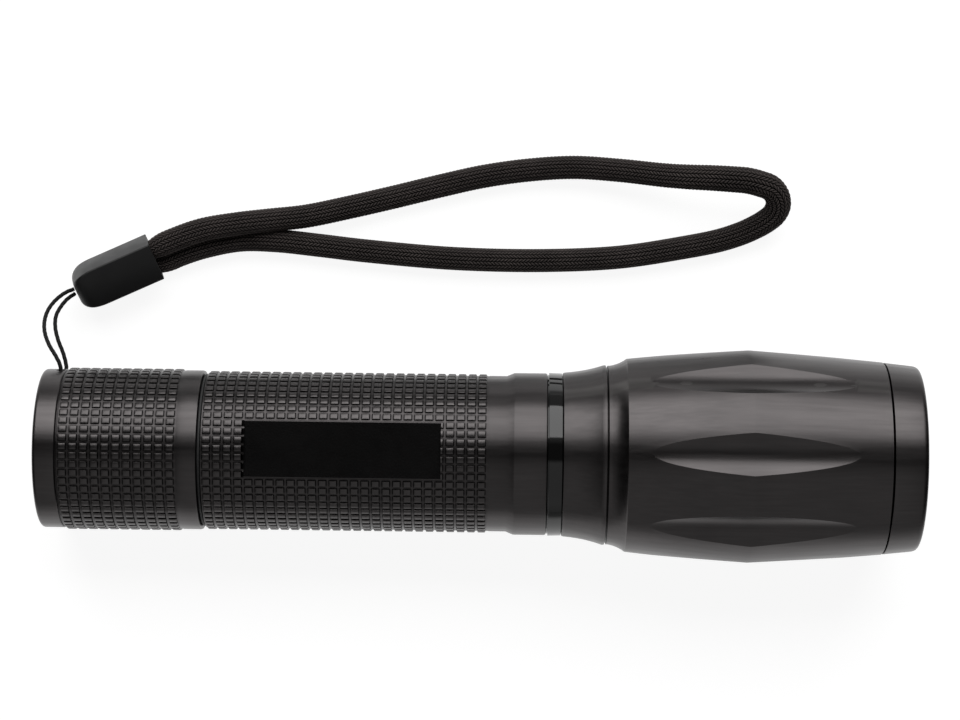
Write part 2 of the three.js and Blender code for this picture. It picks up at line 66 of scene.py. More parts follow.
GAP = 0.3
GRIP_RADIUS = 13.13
GRIP_START = 27.6
GRIP_END = 73.9
NECK_RADIUS = 12.9
NECK_END = 77.1
COLLAR_RADIUS = 13.42
COLLAR_START = 78.3
COLLAR_END = 83.78
TUBE_START = 17.5
TUBE_END = 106.0
THREAD_RADIUS = 11.95
TUBE_BORE = 11.3
SLIDE_RADIUS = 12.0

CAP_RADIUS = 13.4
CAP_REAR = 0.35  # rear face of the tail cap
CAP_KNURL_START = 4.45
CAP_KNURL_END = 23.5
CAP_LENGTH = 26.95

KNURL_ROWS = 58  # pads round the tube
TUBE_KNURL_COLUMNS = 27
CAP_KNURL_COLUMNS = 11
RING_GROOVE_DEPTH = 0.26  # grooves that run round the tube
LONG_GROOVE_DEPTH = 0.24  # grooves that run along it

THREAD_PITCH = 1.5
THREAD_DEPTH = 0.38
THREAD_STEPS = 8  # rings to a turn of the screw thread

LABEL_START = 34.7
LABEL_LENGTH = 31.85
LABEL_WIDTH = 9.06

HEAD_START = 86.33
SHOULDER = 96.8
WAIST = 116.9
HEAD_END = 139.28
HEAD_RADIUS = 17.82
LENGTH = 145.0
LENS_SEAT = 126.0
LENS_BORE = 14.4
HEAD_BORE = 13.6
GUIDE_BORE = 12.95
BUSH_END = 95.0
BEZEL_BORE = 12.9

FLUTE_COUNT = 8
FLUTE_CUTTER = 6.2
FLUTE_FLOOR = 16.4
FLUTE_AXIS = FLUTE_FLOOR + FLUTE_CUTTER

LANYARD_STATION = 3.2
LANYARD_HOLE = 0.75
LANYARD_ANGLES = (12, -10)  # degrees above the strap's side

CORD_DIAMETER = 4.0
LOOP_DIAMETER = 0.7

CORD_ROUTE = [
    (-55.4, 34.3, 5.3),
    (-51.7, 36.1, 5.2),
    (-47.3, 37.7, 5.0),
    (-41.6, 38.8, 4.7),
    (-36.2, 39.6, 3.9),
    (-29.9, 40.5, 2.9),
    (-22.2, 42.3, 2.2),
    (-14.6, 44.2, 2.0),
    (-6.9, 46.2, 2.0),
    (0.7, 48.0, 2.0),
    (8.5, 49.2, 2.1),
    (16.2, 49.7, 2.6),
    (23.9, 49.2, 3.5),
    (31.6, 48.3, 4.9),
    (35.7, 47.9, 6.3),
    (39.4, 47.7, 7.1),
    (42.8, 47.5, 7.4),
    (45.5, 47.3, 7.4),
    (47.8, 46.8, 7.1),
    (49.6, 46.2, 6.5),
    (50.8, 44.9, 5.6),
    (51.1, 43.4, 4.6),
    (50.5, 42.0, 3.7),
    (48.9, 40.7, 3.0),
    (47.1, 39.7, 2.5),
    (45.1, 38.8, 2.1),
    (41.2, 37.5, 2.0),
    (34.6, 36.1, 2.0),
    (24.3, 34.4, 2.0),
    (11.3, 33.6, 2.0),
    (-4.2, 33.7, 2.0),
    (-19.7, 34.8, 2.0),
    (-27.4, 35.6, 2.0),
    (-35.0, 36.3, 2.0),
    (-41.1, 36.3, 2.0),
    (-47.3, 35.0, 2.0),
    (-51.3, 33.6, 2.1),
    (-54.4, 32.2, 2.3),
]

THREAD_ROUTE = [
    (-69.01, 27.27, 4.4),
    (-70.31, 26.64, 4.9),
    (-71.7, 25.36, 6.1),
    (-72.74, 23.59, 7.9),
    (-73.09, 21.53, 10.1),
    (-72.75, 19.37, 12.3),
    (-71.7, 17.1, 14.3),
    (-70.4, 15.23, 15.75),
    (-69.6, 13.75, 16.2),
    (-69.4, 12.48, 15.96),
    (-69.38, 11.17, 15.68),
    (-69.35, 10.32, 14.9),
    (-69.29, 10.01, 13.49),
    (-69.25, 10.24, 12.1),
    (-69.22, 11.13, 11.32),
    (-69.2, 12.52, 11.07),
    (-69.22, 13.8, 10.85),
    (-69.8, 15.88, 10.5),
    (-70.81, 18.16, 9.7),
    (-71.52, 20.43, 8.4),
    (-71.63, 22.4, 7.0),
    (-71.05, 24.07, 5.7),
    (-70.08, 25.55, 4.5),
    (-68.92, 26.54, 3.7),
]

CLIP_TIP = (-68.6, 27.0)
CLIP_HEADING = 24.8
CLIP_ROLL = 27
CLIP_LENGTH = 14.5
CLIP_WIDTH = 6.8
CLIP_THICKNESS = 6.4
CLIP_NOSE = 4.4

# ---- Camera ---------------------------------------------------------------------------------

CAMERA_AIM = (0.0144, 15.554, 15.3)
CAMERA_DISTANCE = 450.0
CAMERA_BACK = (-0.02445, -0.05608, 1.0)  # from the aim towards the camera
CAMERA_ROLL = -0.01308
CAMERA_LENS = 101.28


def make_camera():
    back = Vector(CAMERA_BACK).normalized()
    right = Vector((0, 1, 0)).cross(back).normalized()
    up = back.cross(right)
    turned_right = right * math.cos(CAMERA_ROLL) - up * math.sin(CAMERA_ROLL)
    turned_up = right * math.sin(CAMERA_ROLL) + up * math.cos(CAMERA_ROLL)
    place = (Vector(CAMERA_AIM) + back * CAMERA_DISTANCE) * MM
    data = bpy.data.cameras.new("camera")
    data.lens = CAMERA_LENS
    data.sensor_width = 36
    data.clip_start = 0.01
    data.clip_end = 50
    camera = bpy.data.objects.new("camera", data)
    bpy.context.scene.collection.objects.link(camera)
    turn = Matrix((turned_right, turned_up, back)).transposed().to_4x4()
    camera.matrix_world = Matrix.Translation(place) @ turn
    bpy.context.scene.camera = camera


make_camera()

# ---- The torch's frame ----------------------------------------------------------------------

JOINTS = {joint["name"]: joint for joint in frame["joints"]}
AXIS = np.array(JOINTS["head_turn"]["axis"], float)
AXIS /= np.linalg.norm(AXIS)
SIDE = np.array([0.0, 1.0, 0.0])
UP = np.cross(AXIS, SIDE)
CAP_PIVOT_STATION = 13.0
TAIL = np.array(JOINTS["tail_cap_turn"]["pos_m"], float) - AXIS * CAP_PIVOT_STATION * MM


def placed(points):
    """Points (station, side, up) in the torch's frame, in millimetres, as row-frame metres."""
    points = np.asarray(points, float)
    return TAIL + MM * (
        points[..., 0:1] * AXIS + points[..., 1:2] * SIDE + points[..., 2:3] * UP
    )


def round_axis(station, radius, angle):
    """Torch-frame points from stations, radii and angles, which may be arrays."""
    station, radius, angle = np.broadcast_arrays(station, radius, angle)
    return np.stack([station, radius * np.sin(angle), radius * np.cos(angle)], axis=-1)


# ---- Mesh helpers ---------------------------------------------------------------------------


def mesh_object(name, points, faces):
    mesh = bpy.data.meshes.new(name)
    mesh.from_pydata([tuple(p) for p in np.reshape(points, (-1, 3))], [], faces)
    mesh.validate()
    mesh.update()
    thing = bpy.data.objects.new(name, mesh)
    bpy.context.scene.collection.objects.link(thing)
    return thing


def grid_faces(rings, sides, looped):
    """Quads between rings of points. A looped grid joins its last ring to its first."""
    last = rings if looped else rings - 1
    i, j = np.meshgrid(np.arange(last), np.arange(sides), indexing="ij")
    a = i * sides + j
    b = i * sides + (j + 1) % sides
    c = ((i + 1) % rings) * sides + (j + 1) % sides
    d = ((i + 1) % rings) * sides + j
    return np.stack([a, b, c, d], axis=-1).reshape(-1, 4).tolist()


def grid_object(name, points, looped=False):
    """A closed body from rings of points (ring, side, xyz). An open grid gets flat ends."""
    rings, sides = points.shape[:2]
    faces = grid_faces(rings, sides, looped)
    if not looped:
        faces.append(list(range(sides))[::-1])
        faces.append([(rings - 1) * sides + k for k in range(sides)])
    return mesh_object(name, points, faces)


def outward(thing):
    """Turns every face so that the closed mesh's volume is positive."""
    mesh = thing.data
    mesh.calc_loop_triangles()
    points = np.array([v.co for v in mesh.vertices])
    triangles = np.array([t.vertices for t in mesh.loop_triangles])
    a, b, c = (points[triangles[:, k]] for k in range(3))
    if (a * np.cross(b, c)).sum() < 0:
        mesh.flip_normals()
    return thing


def smooth(thing, degrees=32):
    """Smooth shading with creases where faces meet at more than that angle."""
    thing.data.shade_smooth()
    thing.data.set_sharp_from_angle(angle=math.radians(degrees))
    return thing


def rounded(outline, radius, steps=3):
    """The outline with its corners eased by short curves of about that size."""
    points = [np.array(p, float) for p in outline]
    out = [points[0]]
    for before, corner, after in zip(points, points[1:], points[2:]):
        back, on = before - corner, after - corner
        back_length, on_length = np.linalg.norm(back), np.linalg.norm(on)
        turn = math.acos(np.clip(-(back @ on) / (back_length * on_length), -1, 1))
        if turn < math.radians(12):
            out.append(corner)
            continue
        size = min(radius, 0.4 * back_length, 0.4 * on_length)
        start = corner + back * size / back_length
        end = corner + on * size / on_length
        for t in np.linspace(0, 1, steps + 1):
            out.append((1 - t) ** 2 * start + 2 * t * (1 - t) * corner + t * t * end)
    out.append(points[-1])
    return out


def sweep(start, control, end, steps):
    """Points of a quadratic curve, without its first point."""
    start, control, end = (np.array(p, float) for p in (start, control, end))
    ts = np.linspace(0, 1, steps + 1)[1:]
    return [(1 - t) ** 2 * start + 2 * t * (1 - t) * control + t * t * end for t in ts]


def turned(name, outline, sides=96):
    """A turned piece. An outline that starts and ends on the axis is closed by its poles."""
    outline = np.array([tuple(p) for p in outline])
    angles = 2 * np.pi * np.arange(sides) / sides
    solid_ends = outline[0][1] < 1e-6 and outline[-1][1] < 1e-6
    body = outline[1:-1] if solid_ends else outline
    points = placed(round_axis(body[:, :1], body[:, 1:], angles[None, :]))
    if not solid_ends:
        return outward(smooth(grid_object(name, points, looped=True)))
    rings = len(body)
    faces = grid_faces(rings, sides, looped=False)
    first, last = rings * sides, rings * sides + 1
    for j in range(sides):
        k = (j + 1) % sides
        faces.append([first, k, j])
        faces.append([last, (rings - 1) * sides + j, (rings - 1) * sides + k])
    poles = placed([[outline[0][0], 0, 0], [outline[-1][0], 0, 0]])
    points = np.concatenate([points.reshape(-1, 3), poles])
    return outward(smooth(mesh_object(name, points, faces)))


def catmull_rom(points, per_span):
    """A centripetal curve through the points, the same one as the frame's."""
    points = np.array(points, float)
    ghost_start, ghost_end = 2 * points[0] - points[1], 2 * points[-1] - points[-2]
    padded = np.vstack([ghost_start, points, ghost_end])
    out = []
    for p0, p1, p2, p3 in zip(padded, padded[1:], padded[2:], padded[3:]):
        d0, d1, d2 = (np.linalg.norm(b - a) ** 0.5 for a, b in ((p0, p1), (p1, p2), (p2, p3)))
        m1 = ((p1 - p0) / d0 - (p2 - p0) / (d0 + d1) + (p2 - p1) / d1) * d1
        m2 = ((p2 - p1) / d1 - (p3 - p1) / (d1 + d2) + (p3 - p2) / d2) * d1
        for t in np.arange(per_span) / per_span:
            cubic = (2 * p1 - 2 * p2 + m1 + m2) * t**3 + (3 * p2 - 3 * p1 - 2 * m1 - m2) * t**2
            out.append(cubic + m1 * t + p1)
    out.append(points[-1])
    return np.array(out)


def evenly(line, count):
    along = np.concatenate([[0], np.cumsum(np.linalg.norm(np.diff(line, axis=0), axis=1))])
    at = np.linspace(0, along[-1], count)
    return np.stack([np.interp(at, along, line[:, k]) for k in range(3)], axis=1), at


def carried_frames(line):
    """Two directions across the line at each of its points, carried along without twist."""
    tangents = np.gradient(line, axis=0)
    tangents /= np.linalg.norm(tangents, axis=1)[:, None]
    across = np.zeros_like(line)
    across[0] = np.cross(tangents[0], [0, 0, 1])
    across[0] /= np.linalg.norm(across[0])
    for i in range(1, len(line)):
        v = across[i - 1] - (across[i - 1] @ tangents[i]) * tangents[i]
        across[i] = v / np.linalg.norm(v)
    return across, np.cross(tangents, across)


def rings_about(line, radius, sides):
    """Rings of points about a line in millimetres, as metres. The radius may vary."""
    across, over = carried_frames(line)
    angles = 2 * np.pi * np.arange(sides) / sides
    cosines, sines = np.cos(angles)[None, :, None], np.sin(angles)[None, :, None]
    ring = cosines * across[:, None] + sines * over[:, None]
    return (line[:, None] + np.asarray(radius)[..., None] * ring) * MM


def cut(thing, tool):
    """Takes the tool's closed body out of the piece, and removes the tool."""
    modifier = thing.modifiers.new("cut", "BOOLEAN")
    modifier.operation = "DIFFERENCE"
    modifier.solver = "MANIFOLD"
    modifier.object = tool
    bpy.context.view_layer.update()
    depsgraph = bpy.context.evaluated_depsgraph_get()
    result = bpy.data.meshes.new_from_object(thing.evaluated_get(depsgraph))
    thing.modifiers.clear()
    old = thing.data
    name = old.name
    thing.data = result
    bpy.data.meshes.remove(old)
    result.name = name
    bpy.data.objects.remove(tool)
    return thing


# ---- Node helpers ---------------------------------------------------------------------------


MIX_A, MIX_B, MIX_RESULT = 6, 7, 2  # a Mix node's colour sockets


class Nodes:
    """A short way to write a node tree."""

    def __init__(self, tree):
        self.tree = tree

    def add(self, kind, **settings):
        node = self.tree.nodes.new(kind)
        for key, value in settings.items():
            setattr(node, key, value)
        return node

    def join(self, source, target):
        self.tree.links.new(source, target)

    def math(self, operation, a, b=None):
        node = self.add("ShaderNodeMath", operation=operation)
        for socket, value in zip(node.inputs, (a, b)):
            if hasattr(value, "is_output"):
                self.join(value, socket)
            elif value is not None:
                socket.default_value = value
        return node.outputs[0]

    def ramp(self, source, stops):
        """A colour ramp. Each stop is (position, grey or colour)."""
        node = self.add("ShaderNodeValToRGB")
        elements = node.color_ramp.elements
        while len(elements) < len(stops):
            elements.new(0.5)
        for element, (position, colour) in zip(elements, stops):
            element.position = position
            grey = not hasattr(colour, "__len__")
            element.color = (colour,) * 3 + (1,) if grey else tuple(colour) + (1,)
        self.join(source, node.inputs["Fac"])
        return node.outputs["Color"]

    def multiply(self, a, b):
        """One colour times another."""
        node = self.add("ShaderNodeMix", data_type="RGBA", blend_type="MULTIPLY")
        node.inputs["Factor"].default_value = 1.0
        self.join(a, node.inputs[MIX_A])
        self.join(b, node.inputs[MIX_B])
        return node.outputs[MIX_RESULT]

    def mapped(self, scale=(1, 1, 1), turn=(0, 0, 0)):
        place = self.add("ShaderNodeTexCoord")
        mapping = self.add("ShaderNodeMapping")
        mapping.inputs["Scale"].default_value = scale
        mapping.inputs["Rotation"].default_value = turn
        self.join(place.outputs["Object"], mapping.inputs["Vector"])
        return mapping.outputs["Vector"]

    def noise(self, vector, scale, detail=3.0, roughness=0.5):
        node = self.add("ShaderNodeTexNoise")
        node.inputs["Scale"].default_value = scale
        node.inputs["Detail"].default_value = detail
        node.inputs["Roughness"].default_value = roughness
        self.join(vector, node.inputs["Vector"])
        return node.outputs["Fac"]

    def bump(self, height, strength, distance):
        node = self.add("ShaderNodeBump")
        node.inputs["Strength"].default_value = strength
        node.inputs["Distance"].default_value = distance
        self.join(height, node.inputs["Height"])
        return node.outputs["Normal"]


def new_material(name, **values):
    """A material with a Principled shader, whose constant values are set on its sockets."""
    material = bpy.data.materials.new(name)
    material.use_nodes = True
    nodes = Nodes(material.node_tree)
    shader = material.node_tree.nodes["Principled BSDF"]
    for key, value in values.items():
        socket = shader.inputs[key.replace("_", " ")]
        colour = hasattr(value, "__len__") and len(value) == 3
        socket.default_value = (*value, 1) if colour else value
    return material, nodes, shader


def grainy(name, colour, roughness, spread=0.12, grain=2500, depth=0.02, **values):
    """A plain surface with uneven tone and a fine grain."""
    material, nodes, shader = new_material(name, **values)
    place = nodes.mapped()
    cloud = nodes.noise(place, 120, 4)
    dark = [c * (1 - spread) for c in colour]
    light = [min(1, c * (1 + spread)) for c in colour]
    nodes.join(nodes.ramp(cloud, [(0.3, dark), (0.7, light)]), shader.inputs["Base Color"])
    rough = nodes.ramp(nodes.noise(place, 400), [(0.3, roughness * 0.88), (0.7, roughness * 1.12)])
    nodes.join(rough, shader.inputs["Roughness"])
    fine = nodes.noise(place, grain, 2)
    nodes.join(nodes.bump(fine, 0.35, depth * MM), shader.inputs["Normal"])
    return material


# ---- Materials ------------------------------------------------------------------------------

TILT = math.atan2(AXIS[2], AXIS[0])


def anodised():
    """Black anodised aluminium: satin, with fine drawn lines, worn edges and painted shade in its
    crevices.
    """
    material, nodes, shader = new_material("black_anodised", Metallic=1.0)
    place = nodes.mapped()
    drawn = nodes.mapped(scale=(0.05, 1, 1), turn=(0, TILT, 0))
    cloud = nodes.noise(place, 70, 4)
    lines = nodes.noise(drawn, 2400, 2)
    tone = nodes.math("ADD", nodes.math("MULTIPLY", cloud, 0.6), nodes.math("MULTIPLY", lines, 0.4))
    body = nodes.ramp(tone, [(0.3, (0.056, 0.0525, 0.0525)), (0.7, (0.074, 0.0685, 0.0685))])
    wear = nodes.add("ShaderNodeNewGeometry").outputs["Pointiness"]
    edge = nodes.ramp(wear, [(0.53, 0.0), (0.62, 1.0)])
    worn = nodes.add("ShaderNodeMix", data_type="RGBA")
    worn.inputs[MIX_B].default_value = (0.13, 0.125, 0.122, 1)
    nodes.join(nodes.math("MULTIPLY", edge, 0.5), worn.inputs["Factor"])
    nodes.join(body, worn.inputs[MIX_A])
    # Painted shade: ambient occlusion darkens the colour in the grooves and crevices.
    hollow = nodes.add("ShaderNodeAmbientOcclusion", samples=8)
    hollow.inputs["Distance"].default_value = 0.6 * MM
    painted_crevice_shade = nodes.ramp(hollow.outputs["AO"], [(0.5, 0.03), (0.97, 1.0)])
    shaded = nodes.multiply(worn.outputs[MIX_RESULT], painted_crevice_shade)
    nodes.join(shaded, shader.inputs["Base Color"])
    rough = nodes.ramp(nodes.noise(drawn, 900, 3), [(0.25, 0.27), (0.75, 0.38)])
    nodes.join(rough, shader.inputs["Roughness"])
    grain = nodes.noise(place, 5200, 2)
    nodes.join(nodes.bump(grain, 0.25, 0.006 * MM), shader.inputs["Normal"])
    return material


def braided(name, colour, fibre_scale):
    """Black braid: fibres run through every stitch, and painted shade darkens the gaps between
    stitches.
    """
    material, nodes, shader = new_material(name, Specular_IOR_Level=0.16)
    place = nodes.mapped()
    # Painted shade: each point's stored height darkens the colour between stitches and between plies.
    stitch = nodes.add("ShaderNodeAttribute", attribute_name="tone").outputs["Fac"]
    shade = nodes.ramp(stitch, [(0.3, 0.04), (0.9, 1.0)])
    fibres = nodes.noise(place, fibre_scale, 3, 0.7)
    cloud = nodes.noise(place, 160, 3)
    coarse, fine = nodes.math("MULTIPLY", cloud, 0.4), nodes.math("MULTIPLY", fibres, 0.6)
    mottle = nodes.math("ADD", fine, coarse)
    dark = [c * 0.55 for c in colour]
    light = [c * 1.6 for c in colour]
    body = nodes.ramp(mottle, [(0.32, dark), (0.68, light)])
    nodes.join(nodes.multiply(body, shade), shader.inputs["Base Color"])
    nodes.join(nodes.ramp(cloud, [(0.3, 0.6), (0.7, 0.8)]), shader.inputs["Roughness"])
    nodes.join(nodes.bump(fibres, 0.4, 0.03 * MM), shader.inputs["Normal"])
    return material


def clear_lens():
    clear = {"Base_Color": (0.97, 0.985, 0.99), "Transmission_Weight": 1.0, "IOR": 1.49}
    material, nodes, shader = new_material("lens_clear", **clear)
    haze = nodes.noise(nodes.mapped(), 300, 3)
    nodes.join(nodes.ramp(haze, [(0.4, 0.004), (0.8, 0.02)]), shader.inputs["Roughness"])
    return material


def cell_jacket():
    """A printed-foil battery jacket in two plain bands, with no lettering."""
    material, nodes, shader = new_material("cell_jacket", Roughness=0.3, Metallic=0.4)
    place = nodes.add("ShaderNodeTexCoord")
    axis = nodes.add("ShaderNodeSeparateXYZ")
    nodes.join(place.outputs["Object"], axis.inputs[0])
    station = nodes.math("MULTIPLY", nodes.math("ADD", axis.outputs[0], 0.05), 12.0)
    bands = nodes.ramp(station, [(0.0, (0.05, 0.12, 0.24)), (0.55, (0.5, 0.5, 0.5))])
    nodes.join(bands, shader.inputs["Base Color"])
    grain = nodes.noise(nodes.mapped(), 2000, 2)
    nodes.join(nodes.bump(grain, 0.2, 0.005 * MM), shader.inputs["Normal"])
    return material


MATERIALS = {
    "black_anodised": anodised(),
    "bare_aluminium": grainy("bare_aluminium", (0.75, 0.75, 0.77), 0.3, 0.05, Metallic=1.0),
    "gloss_plastic": grainy("gloss_plastic", (0.004, 0.004, 0.004), 0.07, depth=0.002),
    "dark_plastic": grainy("dark_plastic", (0.012, 0.012, 0.013), 0.45),
    "clip_plastic": grainy(
        "clip_plastic", (0.006, 0.006, 0.0063), 0.42, depth=0.006, Specular_IOR_Level=0.36
    ),
    "white_plastic": grainy("white_plastic", (0.7, 0.69, 0.65), 0.45, 0.04),
    "rubber": grainy("rubber", (0.012, 0.012, 0.012), 0.62, 0.2, depth=0.03),
    "nickel": grainy("nickel", (0.66, 0.63, 0.58), 0.22, 0.06, Metallic=1.0),
    "brass": grainy("brass", (0.72, 0.5, 0.22), 0.28, 0.08, Metallic=1.0),
    "circuit_board": grainy("circuit_board", (0.012, 0.07, 0.03), 0.4, 0.15),
    "cell_jacket": cell_jacket(),
    "lamp_board": grainy("lamp_board", (0.8, 0.79, 0.76), 0.42, 0.04),
    "lamp_phosphor": grainy("lamp_phosphor", (0.85, 0.68, 0.1), 0.35, 0.08),
    "lens_clear": clear_lens(),
    "braid": braided("braid", (0.056, 0.047, 0.0445), 5200),
    "thread": braided("thread", (0.012, 0.012, 0.012), 7000),
}
# The label flat's material: a matt grain, with a very dark colour and weak reflection as painted
# shade.
LABEL_MATT_AND_SHADE = grainy(
    "label_matt_and_shade", (0.002, 0.0018, 0.0018), 0.45, 0.3, grain=3600, depth=0.12, Specular_IOR_Level=0.08
)


def dress(thing, slot, body=None, *nodes):
    """Gives a piece the material named by its slot, puts it on its body and hides what it stands for.
    """
    thing.data.materials.clear()
    thing.data.materials.append(MATERIALS[slot])
    if body:
        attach(thing, body)
    if nodes:
        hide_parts(*nodes)
    return thing


# ---- Knurled shells -------------------------------------------------------------------------

PAD_EDGE = 0.285  # half of a pad's flat top, as a share of the pitch
PAD_BEVEL = 0.33
GROOVE_EDGE = 0.4
KNURL_FRACTIONS = (-GROOVE_EDGE, -PAD_BEVEL, -PAD_EDGE, 0.0, PAD_EDGE, PAD_BEVEL, GROOVE_EDGE)


def groove_share(fraction):
    """How deep the knurl's profile is there: 0 on a pad's top, 1 on a groove's floor."""
    return np.interp(np.abs(fraction), [PAD_EDGE, PAD_BEVEL, GROOVE_EDGE], [0.0, 0.12, 1.0])


KNURL_ANGLES = np.array(
    [(row + part) * 2 * np.pi / KNURL_ROWS for row in range(KNURL_ROWS) for part in KNURL_FRACTIONS]
)
ROW_SHARES = groove_share(np.array(list(KNURL_FRACTIONS) * KNURL_ROWS))


def plain_rings(outline):
    """Rings without knurl, one for each outline point."""
    return [round_axis(station, radius, KNURL_ANGLES) for station, radius in outline]


def knurled_rings(start, end, columns, radius):
    """Rings of a knurled stretch: columns of pads between grooves that run both ways."""
    pitch = (end - start) / columns
    label_reach = math.asin(LABEL_WIDTH / 2 / GRIP_RADIUS) + 0.012  # radians, to either side
    over_label = np.cos(KNURL_ANGLES) > math.cos(label_reach)
    rings = []
    for column in range(columns):
        for part in KNURL_FRACTIONS:
            station = start + (column + 0.5 + part) * pitch
            ring_depth = RING_GROOVE_DEPTH * groove_share(part)
            if LABEL_START < station < LABEL_START + LABEL_LENGTH:
                ring_depth = np.where(over_label, 0, ring_depth)
            depth = np.maximum(ring_depth, LONG_GROOVE_DEPTH * ROW_SHARES)
            rings.append(round_axis(station, radius - depth, KNURL_ANGLES))
    return rings


def threaded_rings(start, end, crest, direction):
    """Rings of a screw thread whose crest has that radius; direction is -1 for a bore's thread."""
    rings = []
    steps = int((end - start) / THREAD_PITCH * THREAD_STEPS)
    for station in np.linspace(start, end, steps + 1):
        phase = (station / THREAD_PITCH - KNURL_ANGLES / (2 * np.pi)) % 1
        flank = np.clip(np.abs(phase - 0.5) * 4 - 0.5, 0, 1)
        fade = np.clip(min(station - start, end - station) / (0.5 * THREAD_PITCH), 0, 1)
        radius = crest - direction * THREAD_DEPTH * flank * fade
        rings.append(round_axis(station, radius, KNURL_ANGLES))
    return rings


def shell_from(name, rings):
    return outward(grid_object(name, placed(np.array(rings)), looped=True))


def battery_tube():
    """The knurled tube, with its threaded rear end, plain collar and thin slide tube."""
    groove = GRIP_RADIUS - RING_GROOVE_DEPTH
    root = THREAD_RADIUS - THREAD_DEPTH
    rings = plain_rings([(TUBE_START, TUBE_BORE + 0.1), (TUBE_START + 0.15, root)])
    rings += threaded_rings(TUBE_START + 0.4, GRIP_START - 1.2, THREAD_RADIUS, 1)
    relief = THREAD_RADIUS - 0.1
    rings += plain_rings([(GRIP_START - 0.9, relief), (GRIP_START, relief)])
    rings += plain_rings([(GRIP_START, groove - 0.25), (GRIP_START + 0.08, groove)])
    rings += knurled_rings(GRIP_START + 0.1, GRIP_END + 0.1, TUBE_KNURL_COLUMNS, GRIP_RADIUS)
    front = [
        (GRIP_END + 0.25, NECK_RADIUS - 0.05),
        (GRIP_END + 0.4, NECK_RADIUS),
        (NECK_END, NECK_RADIUS),
        (COLLAR_START, COLLAR_RADIUS - 0.03),
        (COLLAR_START + 0.25, COLLAR_RADIUS),
        (COLLAR_END - 0.3, COLLAR_RADIUS),
        (COLLAR_END - 0.08, COLLAR_RADIUS - 0.07),
        (COLLAR_END, COLLAR_RADIUS - 0.28),
        (COLLAR_END, SLIDE_RADIUS + 0.1),
        (COLLAR_END + 0.1, SLIDE_RADIUS),
        (TUBE_END - 0.3, SLIDE_RADIUS),
        (TUBE_END, SLIDE_RADIUS - 0.25),
        (TUBE_END, TUBE_BORE + 0.1),
        (TUBE_END - 0.1, TUBE_BORE),
        (TUBE_START + 0.1, TUBE_BORE),
    ]
    rings += plain_rings(front)
    tube = shell_from("battery_tube_shell", rings)
    flat_height = math.sqrt(GRIP_RADIUS**2 - (LABEL_WIDTH / 2) ** 2)
    reach = 8  # well past the flat's own width, to either side
    high = (LABEL_START + LABEL_LENGTH, reach, flat_height + 4)
    tool = box_tool((LABEL_START, -reach, flat_height), high)
    tube = dress(smooth(cut(tube, tool)), "black_anodised", "root", "battery_tube")
    return matt_shade_label(tube, flat_height)


def matt_shade_label(tube, flat_height):
    """Gives the milled flat a matt, much darker copy of the anodised finish, whose darkness is painted
    shade, and keeps it truly flat.
    """
    tube.data.materials.append(LABEL_MATT_AND_SHADE)
    level = (TAIL + MM * flat_height * UP) @ UP
    for face in tube.data.polygons:
        facing = np.array(face.normal) @ UP
        height = np.array(face.center) @ UP
        if facing > 0.999 and abs(height - level) < 0.01 * MM:
            face.material_index = 1
            face.use_smooth = False
    return tube


def box_tool(low, high):
    xs, ys, zs = zip(low, high)
    corners = [(x, y, z) for x in xs for y in ys for z in zs]
    faces = [(0, 1, 3, 2), (4, 6, 7, 5), (0, 4, 5, 1), (2, 3, 7, 6), (0, 2, 6, 4), (1, 5, 7, 3)]
    return outward(mesh_object("box_tool", placed(corners), faces))


def tail_cap():
    """The knurled cap: rounded rear lip, plain band with the lanyard holes, groove and knurl."""
    floor, lip_opening = 1.4, 7.5
    face_radius, band_radius, groove_radius = 12.45, 13.15, 12.9
    band_end, front_radius = 4.05, 13.2
    switch_bore, pocket_radius, pocket_end = 9.4, 11.3, 4.4
    thread_bore, thread_start = THREAD_RADIUS + GAP, 16.9
    rear = [
        (floor - 0.1, lip_opening),
        (CAP_REAR + 0.35, lip_opening),
        (CAP_REAR, lip_opening + 0.45),
        (CAP_REAR, face_radius),
    ]
    rear += sweep((CAP_REAR, face_radius), (CAP_REAR, band_radius), (1.0, band_radius), 6)
    rear += [
        (band_end - 0.15, band_radius),
        (band_end, band_radius - 0.1),
        (band_end + 0.05, groove_radius),
        (CAP_KNURL_START - 0.12, groove_radius),
        (CAP_KNURL_START - 0.02, CAP_RADIUS - RING_GROOVE_DEPTH),
    ]
    rings = plain_rings(rear)
    knurl_start, knurl_end = CAP_KNURL_START - 0.05, CAP_KNURL_END + 0.05
    rings += knurled_rings(knurl_start, knurl_end, CAP_KNURL_COLUMNS, CAP_RADIUS)
    front = [
        (CAP_KNURL_END + 0.25, front_radius - 0.05),
        (CAP_KNURL_END + 0.4, front_radius),
        (CAP_LENGTH - 0.3, front_radius),
        (CAP_LENGTH - 0.06, front_radius - 0.08),
        (CAP_LENGTH, front_radius - 0.3),
        (CAP_LENGTH, thread_bore + 0.15),
        (CAP_LENGTH - 0.15, thread_bore),
    ]
    rings += plain_rings(front)
    inner_thread = threaded_rings(thread_start + 0.5, CAP_LENGTH - 1.0, thread_bore, -1)
    rings += inner_thread[::-1]
    rings += plain_rings([
        (thread_start, thread_bore),
        (thread_start, switch_bore),
        (pocket_end, switch_bore),
        (pocket_end, pocket_radius),
        (floor, pocket_radius),
        (floor, lip_opening + 0.1),
    ])
    cap = shell_from("tail_cap_shell", rings)
    for degrees in LANYARD_ANGLES:
        cap = cut(cap, hole_tool(math.radians(degrees), (pocket_radius + band_radius) / 2))
    return dress(smooth(cap), "black_anodised", "tail_cap", "tail_cap")


